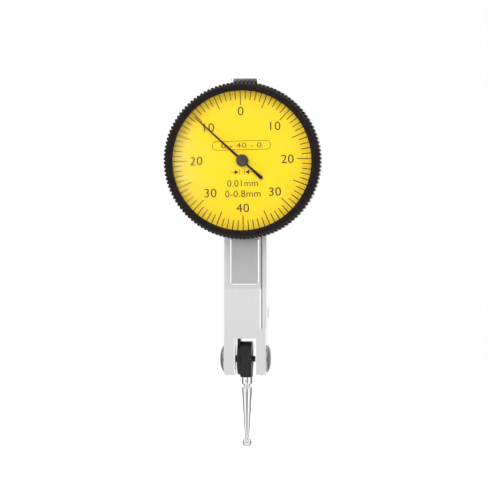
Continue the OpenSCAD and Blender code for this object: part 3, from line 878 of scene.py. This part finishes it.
@dataclass
class Dial(Assembly):
    """The yellow dial with its lines, figures and marks.

    Attributes:
        divisions: Lines round the dial.
        lean_deg: How far the print is turned anticlockwise at rest.
        figure_height: Height of the figures.
        line_width: Width of the lines round it.
        ink_height: Thickness of the print.
        shift_right: How far the print lies to the right of the dial's middle.
        shift_up: How far it lies above it.
        capital_share: Height of a figure as a share of its type size.
    """

    body = Body.BEZEL
    divisions: int = 80
    lean_deg: float = 1.3
    figure_height: float = 1.74 * MM
    line_width: float = 0.175 * MM
    ink_height: float = 0.012 * MM
    shift_right: float = -0.16 * MM
    shift_up: float = 0.12 * MM
    capital_share: float = 0.70

    def __post_init__(self) -> None:
        """Read the dial's place from its CAD node."""
        self.low, self.high = corners_of(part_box("dial_face"))
        self.centre = (self.low + self.high) / 2
        self.rim = (self.high.x - self.low.x) / 2
        self.edge = self.rim - WINDOW_INSET

    def spot(self, across: float, up: float) -> Vector:
        """The point on the dial's face at a place on its print, right and up of its middle."""
        x, z = leant(across, up, self.lean_deg)
        return Vector(
            (self.centre.x + self.shift_right + x, self.low.y, self.centre.z + self.shift_up + z)
        )

    def stroke(self, shape: bmesh.types.BMesh, start: Vector, end: Vector, width: float) -> None:
        """Print a straight line.

        Args:
            shape: The mesh to add to.
            start: Where it starts on the print, right and up.
            end: Where it ends.
            width: Its width.
        """
        side = (end - start).normalized().orthogonal() * (width / 2)
        corners = [start + side, end + side, end - side, start - side]
        front = [self.spot(*corner) for corner in corners]
        slab(shape, front, Vector((0.0, -self.ink_height, 0.0)))

    def build_face(self) -> None:
        """Build the painted disc with its turned-over hole."""
        hole, radius = 0.9 * MM, self.rim - 0.02 * MM
        front, back = self.low.y, self.high.y
        outline = outlined([
            (hole, 0.0, back, 0.0), (hole, 0.0, front, 0.06), (hole, 0.06, front, 0.0),
            (radius * 0.35, 0.0, front, 0.0), (radius * 0.7, 0.0, front, 0.0),
            (radius, -0.04, front, 0.0), (radius, 0.0, front, 0.04), (radius, 0.0, back, 0.0),
        ])
        shape = turned(outline, 192, about_y(self.centre), closed=True)
        piece = self.piece("dial_plate", shape, "dial_yellow", "dial")
        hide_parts("dial_face")

    def build_lines(self) -> None:
        """Print the lines round the dial."""
        shape = bmesh.new()
        for i in range(self.divisions):
            mark = Mark.LONG if i % 5 == 0 else Mark.SHORT
            angle = FULL_TURN * i / self.divisions
            out = Vector((math.sin(angle), math.cos(angle)))
            start, end = out * (self.edge + 0.1 * MM), out * (self.edge - mark.value)
            self.stroke(shape, start, end, self.line_width)
        self.piece("dial_lines", shape, "pointer_black", "ink")

    def build_marks(self) -> None:
        """Print the rounded frame above the hub and the pair of arrows below it."""
        shape = bmesh.new()
        thin = 0.10 * MM
        half_w, half_h, mid = 5.88 * MM, 0.89 * MM, 2.98 * MM
        turn = 0.70 * MM
        corners = [(half_w, half_h), (-half_w, half_h), (-half_w, -half_h), (half_w, -half_h)]
        path: list[Vector] = []
        for i, (x, y) in enumerate(corners):
            hub = Vector((x - math.copysign(turn, x), y - math.copysign(turn, y) + mid))
            for k in range(5):
                angle = math.radians(90.0 * i + 22.5 * k)
                path.append(hub + Vector((math.cos(angle), math.sin(angle))) * turn)
        for start, end in zip(path, path[1:] + path[:1]):
            self.stroke(shape, start, end, thin)
        low, bar, head, rise = -2.46 * MM, 0.48 * MM, 0.46 * MM, 0.56 * MM
        for side in (-1.0, 1.0):
            upright = side * bar
            self.stroke(shape, Vector((upright, low - rise)), Vector((upright, low + rise)), thin)
            tip = side * (bar + 0.16 * MM)
            tail = side * (bar + 1.75 * MM)
            base = tip + side * 1.9 * head
            self.stroke(shape, Vector((tail, low)), Vector((tip + side * head, low)), thin)
            arrow = [self.spot(*at) for at in ((tip, low), (base, low + head), (base, low - head))]
            slab(shape, arrow, Vector((0.0, -self.ink_height, 0.0)))
        self.piece("dial_marks", shape, "pointer_black", "ink")

    def figure(
        self, text: str, across: float, up: float, height: float, name: str, wide: float = 1.08
    ) -> None:
        """Print an upright word or number.

        Args:
            text: What to print.
            across: Its middle to the right of the dial's middle.
            up: Its middle above it.
            height: Height of its figures.
            name: The piece's name.
            wide: How far the figures are widened.
        """
        curve = bpy.data.curves.new(name, "FONT")
        curve.body = text
        curve.align_x = "CENTER"
        curve.size = 1.0 / self.capital_share
        curve.space_character = 1.04
        curve.resolution_u = 6
        curve.extrude = self.ink_height / (2 * height)
        lettering = bpy.data.objects.new(name + "_curve", curve)
        bpy.context.scene.collection.objects.link(lettering)
        bpy.context.view_layer.update()
        graph = bpy.context.evaluated_depsgraph_get()
        mesh = bpy.data.meshes.new_from_object(lettering.evaluated_get(graph))
        bpy.data.objects.remove(lettering)
        bpy.data.curves.remove(curve)
        shape = bmesh.new()
        shape.from_mesh(mesh)
        bpy.data.meshes.remove(mesh)
        bmesh.ops.remove_doubles(shape, verts=shape.verts, dist=1e-5)
        bmesh.ops.scale(shape, vec=(height, height, height), verts=shape.verts)
        heights = [vert.co.y for vert in shape.verts]
        middle_up = (max(heights) + min(heights)) / 2
        for vert in shape.verts:
            flat = self.spot(across + vert.co.x * wide, up + vert.co.y - middle_up)
            vert.co = flat - Vector((0.0, self.ink_height / 2 + vert.co.z, 0.0))
        self.piece(name, shape, "pointer_black", "ink")

    def build_figures(self) -> None:
        """Print the figures round the dial and the words on it."""
        reach = {0: 9.95, 10: 9.55, 20: 9.3, 30: 9.3, 40: 9.75}
        for tenth in range(8):
            value = 10 * min(tenth, 8 - tenth)
            angle = FULL_TURN * tenth / 8
            radius = reach[value] * MM
            across, up = radius * math.sin(angle), radius * math.cos(angle)
            self.figure(str(value), across, up, self.figure_height, f"dial_figure_{tenth}")
        self.figure("0 - 40 - 0", 0.0, 2.98 * MM, 1.02 * MM, "dial_range", 1.45)
        self.figure("0.01mm", 0.1 * MM, -4.72 * MM, 1.36 * MM, "dial_unit", 0.98)
        self.figure("0-0.8mm", 0.1 * MM, -6.85 * MM, 1.40 * MM, "dial_travel", 1.00)

    def build(self) -> None:
        """Build the whole dial."""
        self.build_face()
        self.build_lines()
        self.build_marks()
        self.build_figures()


@dataclass
class Pointer(Assembly):
    """The pointer and its hub.

    Attributes:
        rest_deg: The pointer's angle at rest, anticlockwise from the top.
        length: From the hub's middle to the tip.
        tail: From the hub's middle to the tail's end.
    """

    body = Body.POINTER
    rest_deg: float = 47.8
    length: float = 13.3 * MM
    tail: float = 5.5 * MM

    def __post_init__(self) -> None:
        """Read the pointer's place from its CAD nodes."""
        self.low, self.high = corners_of(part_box("pointer"))
        self.hub_low, self.hub_high = corners_of(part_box("pointer_hub"))
        self.centre = (self.hub_low + self.hub_high) / 2

    def aimed(self, across: float, along: float, y: float) -> Vector:
        """A point right of the pointer's middle line and along it, at a depth in the frame."""
        x, z = leant(across, along, self.rest_deg)
        return Vector((self.centre.x + x, y, self.centre.z + z))

    def build_needle(self) -> None:
        """Build the needle, ridged along its middle, with its rounded tail."""
        # Distance along the pointer and half its width there
        stations = [
            (-self.tail, 0.10), (-self.tail + 0.05 * MM, 0.22), (-self.tail + 0.18 * MM, 0.33),
            (-self.tail + 0.38 * MM, 0.375), (-self.tail + 0.70 * MM, 0.36), (-3.6 * MM, 0.27),
            (-1.2 * MM, 0.18), (0.0, 0.24), (1.2 * MM, 0.26), (5.0 * MM, 0.20), (9.0 * MM, 0.145),
            (12.4 * MM, 0.10), (self.length - 0.1 * MM, 0.08), (self.length, 0.03),
        ]
        shape = bmesh.new()
        rows = []
        for along, half_mm in stations:
            half = half_mm * MM
            ridge, back = self.low.y, self.high.y
            shoulder = ridge + 0.05 * MM
            section = (
                (-half, back), (-half, shoulder), (0.0, ridge), (half, shoulder), (half, back),
            )
            rows.append([shape.verts.new(self.aimed(across, along, y)) for across, y in section])
        for near, far in zip(rows, rows[1:]):
            for i in range(5):
                k = (i + 1) % 5
                shape.faces.new([near[i], near[k], far[k], far[i]])
        shape.faces.new(list(reversed(rows[0])))
        shape.faces.new(rows[-1])
        piece = self.piece("pointer_needle", shape, "pointer_black", "needle", 20.0)
        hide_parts("pointer")

    def build_hub(self) -> None:
        """Build the hub's cap, slightly dished in its middle."""
        front, back = self.hub_low.y, self.hub_high.y
        radius = (self.hub_high.x - self.hub_low.x) / 2
        outline = outlined([
            (0.0, 0.0, front, 0.03), (0.0, 0.30, front, 0.03), (0.0, 0.36, front, 0.0),
            (radius, -0.22, front, 0.0), (radius, -0.08, front, 0.03),
            (radius, -0.02, front, 0.10), (radius, 0.0, front, 0.18), (radius, 0.0, back, 0.0),
            (0.0, 0.0, back, 0.0),
        ])
        shape = turned(outline, 64, about_y(self.centre))
        piece = self.piece("pointer_hub_cap", shape, "pointer_black", "hub")
        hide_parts("pointer_hub")

    def build(self) -> None:
        """Build the needle and its hub."""
        self.build_needle()
        self.build_hub()


@dataclass
class Stylus(Assembly):
    """The polished stylus and its ball, below the black holder."""

    body = Body.STYLUS

    def __post_init__(self) -> None:
        """Read the pieces' places from their CAD nodes."""
        self.holder = corners_of(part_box("stylus_holder"))
        self.shank = corners_of(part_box("stylus_shank"))
        self.ball = corners_of(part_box("stylus_ball"))

    def build_shank(self) -> None:
        """Build the collar, the groove and the long taper."""
        low, high = self.shank
        centre = (low + high) / 2
        radius = (high.x - low.x) / 2
        seat = self.holder[0].z
        ball_top = self.ball[1].z
        neck = 0.45 * MM
        outline = outlined([
            (0.0, 0.0, high.z, 0.0), (0.0, 0.6, high.z, 0.0), (0.0, 0.6, seat, 0.0),
            (radius, -0.06, seat, 0.0), (radius, -0.02, seat, -0.01), (radius, 0.0, seat, -0.05),
            (radius, 0.0, seat, -0.12), (radius, 0.0, seat, -1.28), (radius, 0.0, seat, -1.36),
            (radius, -0.05, seat, -1.46), (radius, -0.16, seat, -1.54), (0.0, 0.66, seat, -1.76),
            (0.0, 0.62, seat, -1.84), (0.0, 0.66, seat, -1.92), (radius, -0.12, seat, -2.14),
            (radius, -0.04, seat, -2.26), (radius, -0.05, seat, -2.40),
        ])
        steps = 12
        start_r, start_z = radius - 0.07 * MM, seat - 2.6 * MM
        end_z = ball_top + 0.06 * MM
        for i in range(steps + 1):
            t = i / steps
            outline.append((start_r + (neck - start_r) * t, start_z + (end_z - start_z) * t))
        outline += outlined([(neck, -0.02, ball_top, -0.10), (0.0, 0.0, ball_top, -0.14)])
        shape = turned(outline, 72, about_z(centre))
        piece = self.piece("stylus_taper", shape, "bright_steel", "bright", 38.0)
        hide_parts("stylus_shank")

    def build_ball(self) -> None:
        """Build the contact ball."""
        low, high = self.ball
        radius = (high.x - low.x) / 2
        centre = Vector(((low.x + high.x) / 2, (low.y + high.y) / 2, low.z + radius))
        rows = 32
        turns = [math.pi * i / rows for i in range(rows + 1)]
        outline = [(radius * math.sin(a), centre.z + radius * math.cos(a)) for a in turns]
        outline[0] = (0.0, outline[0][1])
        outline[-1] = (0.0, outline[-1][1])
        shape = turned(outline, 64, about_z(centre))
        piece = self.piece("stylus_contact_ball", shape, "bright_steel", "ball", 60.0)
        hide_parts("stylus_ball")

    def build(self) -> None:
        """Build the stylus and its ball."""
        self.build_shank()
        self.build_ball()


@dataclass
class Studio:
    """The pale floor, the soft lights and the camera.

    Attributes:
        azimuth_deg: How far the camera stands to the dial's right.
        distance: From the camera to the object.
        span: Width of the view at the object.
        aim: The point that the camera and the lights face.
    """

    # From straight behind the camera, at 0, to straight behind the object, at 1
    ROOM: ClassVar = (
        (0.0, 0.33), (0.043, 0.35), (0.06, 1.10), (0.36, 1.10),
        (0.43, 0.28), (0.95, 0.26), (0.985, 1.0),
    )
    # From straight below, at 0, past the object's level, at 0.5, to straight above, at 1
    CEILING: ClassVar = ((0.35, 1.0), (0.42, 0.0), (0.53, 0.0), (0.59, 1.0))

    azimuth_deg: float = 4.7
    distance: float = 1.0
    span: float = 99.5 * MM
    aim: Vector = field(default_factory=lambda: Vector((0.0, -6.56 * MM, -33.85 * MM)))

    def place_camera(self) -> None:
        """Set up the camera."""
        data = bpy.data.cameras.new("camera")
        data.lens = data.sensor_width * self.distance / self.span
        data.clip_start = 0.01
        camera = bpy.data.objects.new("camera", data)
        turn = math.radians(self.azimuth_deg)
        camera.location = self.aim + self.distance * Vector((math.sin(turn), -math.cos(turn), 0.0))
        camera.rotation_euler = (math.pi / 2, 0.0, turn)
        bpy.context.scene.collection.objects.link(camera)
        bpy.context.scene.camera = camera

    def light(
        self, name: str, place: Colour, size: Span, power: float, mirrored: bool = False
    ) -> None:
        """Add a soft light that faces the object.

        Args:
            name: The light's name.
            place: Where it stands.
            size: Its width and height.
            power: Its power, in watts.
            mirrored: Whether shiny surfaces mirror it.
        """
        data = bpy.data.lights.new(name, "AREA")
        data.shape = "RECTANGLE"
        data.size, data.size_y = size
        data.energy = power
        lamp = bpy.data.objects.new(name, data)
        lamp.location = place
        aim = self.aim - Vector(place)
        lamp.rotation_euler = aim.to_track_quat("-Z", "Y").to_euler()
        lamp.visible_glossy = mirrored
        bpy.context.scene.collection.objects.link(lamp)

    def build_world(self) -> None:
        """Surround the scene with a room, dim behind the camera and white at the back."""
        world = bpy.data.worlds.new("studio")
        bpy.context.scene.world = world
        world.use_nodes = True
        nodes = Nodes(world.node_tree)
        around = nodes.add("ShaderNodeTexCoord").outputs["Generated"]
        level = around
        for step, factor in (("MULTIPLY", [(1.0, 1.0, 0.0)]), ("NORMALIZE", [])):
            node = nodes.add("ShaderNodeVectorMath", [level, *factor], operation=step)
            level = node.outputs["Vector"]
        depth = nodes.remap(nodes.split(level)["Y"], (-1.0, 1.0))
        walls = nodes.ramp(depth, self.ROOM)
        # The dark band round the horizon grows taller from the front to the back
        flatter = nodes.math("MULTIPLY_ADD", depth, -0.85, 1.0)
        rise = nodes.math("MULTIPLY", nodes.split(around)["Z"], flatter)
        ceiling = nodes.ramp(nodes.remap(rise, (-1.0, 1.0)), self.CEILING)
        back = nodes.tree.nodes["Background"]
        nodes.feed(back, {"Color": nodes.blend(ceiling, walls, grey(1.0)), "Strength": 1.0})
        white = nodes.add("ShaderNodeBackground", {"Color": (1.0, 1.0, 1.0, 1.0)})
        direct = nodes.add("ShaderNodeLightPath").outputs["Is Camera Ray"]
        layers = (direct, back.outputs["Background"], white.outputs["Background"])
        mix = nodes.add("ShaderNodeMixShader", layers)
        nodes.feed(nodes.tree.nodes["World Output"], {"Surface": mix.outputs["Shader"]})

    def build_floor(self) -> None:
        """Lay the pale floor a little below the contact ball."""
        low, _ = corners_of(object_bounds())
        shape = bmesh.new()
        reach = 0.7
        level = low.z - 0.6 * MM
        signs = ((-1, -1), (1, -1), (1, 1), (-1, 1))
        shape.faces.new([shape.verts.new((x * reach, y * reach, level)) for x, y in signs])
        bmesh.ops.subdivide_edges(shape, edges=shape.edges, cuts=6, use_grid_fill=True)
        floor = in_scene("floor", shape)
        floor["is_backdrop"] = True
        floor.visible_glossy = False
        recipe = Recipe("pale_floor")
        soft = recipe.grain(30.0, detail=2.0)
        recipe.fix("Base Color", recipe.blend(soft, grey(0.93), grey(0.96)))
        recipe.fix("Roughness", 0.9)
        recipe.fix("Emission Color", (1.0, 1.0, 1.0, 1.0))
        recipe.fix("Emission Strength", 0.25)
        floor.data.materials.append(recipe.material)

    def build(self) -> None:
        """Build the stage."""
        self.place_camera()
        self.build_world()
        self.build_floor()
        self.light("key_above_left", (-0.16, -0.50, 0.26), (0.34, 0.34), 2.3)
        self.light("fill_front_right", (0.40, -0.55, 0.02), (0.40, 0.40), 1.3)
        self.light("back_wash", (0.0, 0.50, 0.35), (0.45, 0.45), 1.0)
        # The crystal mirrors this one, which makes the glare on its left
        self.light("window_strip", (-0.226, -1.179, -0.02), (0.056, 0.17), 0.14, mirrored=True)
        view = bpy.context.scene.view_settings
        view.view_transform = "Standard"
        view.look = "None"
        LOG.info("built the studio")


def main() -> None:
    """Build the indicator and its studio."""
    logging.basicConfig(level=logging.INFO, format="%(name)s: %(message)s")
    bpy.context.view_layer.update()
    finishes = Finishes()
    dresser = NodeDresser(finishes)
    dresser.dress(["body", "side_cover"], "bar", 0.16 * MM, "edge")
    for finish, edge_mm, nodes in (
        ("case", 0.10, ["dial_case"]),
        ("screw", 0.06, ["pivot_screw_left", "pivot_screw_right"]),
        ("dark_screw", 0.03, ["side_cover_screws", "case_screws", "cock_screws", "plate_screws"]),
        ("oxide", 0.06, ["lever_arm", "pivot_axle", "stylus_holder"]),
        ("brass", 0.0, ["movement_plate", "pinion_cock", "sector_gear", "crown_gear"]),
        ("brass", 0.02, ["hairspring_stud", "hairspring_collet"]),
        ("gear_steel", 0.0, ["contact_pin", "swivel_washer", "bezel_snap_ring", "dial_ring"]),
        ("gear_steel", 0.0, ["sector_arbor", "crown_pinion", "crown_arbor"]),
        ("gear_steel", 0.0, ["centre_arbor", "centre_pinion"]),
        ("blued", 0.0, ["hairspring"]),
        ("ruby", 0.0, ["jewel_bearings"]),
        ("gasket", 0.0, ["crystal_gasket"]),
    ):
        dresser.dress(nodes, finish, edge_mm * MM)
    Bezel(finishes).build()
    Dial(finishes).build()
    Pointer(finishes).build()
    Crystal(finishes).build()
    Stylus(finishes).build()
    Studio().build()


if __name__ == "__main__":
    main()
